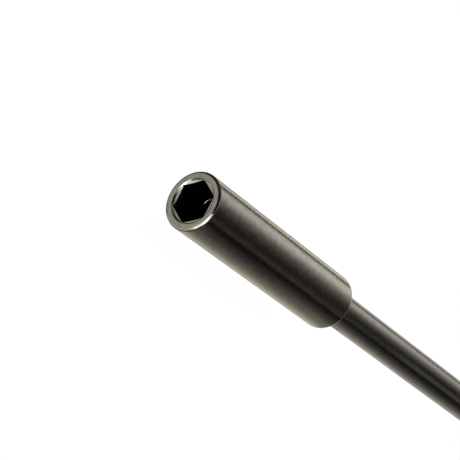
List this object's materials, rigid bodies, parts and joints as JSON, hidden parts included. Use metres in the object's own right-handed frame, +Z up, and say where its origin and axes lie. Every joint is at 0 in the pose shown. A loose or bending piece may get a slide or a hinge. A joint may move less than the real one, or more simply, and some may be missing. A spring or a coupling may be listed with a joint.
{
  "type": "nut driver",
  "caption": "Precision nut driver: a round hex socket barrel on a slim dark steel shaft, and a fluted grip with a swivel palm cap on a ball bearing.",
  "frame": {"origin": "centre of the socket's mouth, on the tool's axis", "axes": "+X out of the socket's mouth along the tool's axis, +Z up from the bench the tool lies on"},
  "size_m": [0.2114, 0.021, 0.019],
  "materials": {
    "socket_steel": "black oxide, satin, turned and ground",
    "shaft_steel": "black oxide, satin, ground along its length",
    "ferrule_aluminium": "gunmetal anodised, fine turned",
    "collar_nylon": "moulded black nylon, fine grain",
    "body_aluminium": "black anodised, bead blasted",
    "screw_steel": "black oxide",
    "trim_aluminium": "clear anodised, turned",
    "grip_rubber": "moulded, matt",
    "band_silicone": "smooth silicone, matt",
    "cap_aluminium": "gunmetal anodised, satin",
    "bearing_steel": "ground and honed",
    "ball_steel": "polished",
    "cage_brass": "machined",
    "shield_steel": "pressed sheet"
  },
  "bodies": {
    "driver": {"socket": "socket_steel", "shaft": "shaft_steel", "nose_ferrule": "ferrule_aluminium", "anti_roll_collar": "collar_nylon", "handle_body": "body_aluminium", "grub_screws": "screw_steel", "grip_ring": "trim_aluminium", "grip_sleeve": "grip_rubber", "size_band": "band_silicone", "bearing_inner_ring": "bearing_steel", "cap_screw": "screw_steel", "screw_washer": "bearing_steel"},
    "palm_cap": {"swivel_cap": "cap_aluminium", "cap_disc": "trim_aluminium", "bearing_outer_ring": "bearing_steel", "bearing_front_shield": "shield_steel", "bearing_rear_shield": "shield_steel", "bearing_circlip": "screw_steel"},
    "ball_set": {"bearing_balls": "ball_steel", "bearing_cage": "cage_brass"}
  },
  "joints": [
    {"name": "cap_spin", "type": "hinge", "parent": "driver", "child": "palm_cap", "pos_m": [-0.20342, 0, 0], "axis": [1, 0, 0], "continuous": true},
    {"name": "ball_roll", "type": "hinge", "parent": "driver", "child": "ball_set", "pos_m": [-0.20342, 0, 0], "axis": [1, 0, 0], "continuous": true}
  ],
  "couplings": [
    {"joint": "ball_roll", "follows": "cap_spin", "ratio": 0.641}
  ]
}
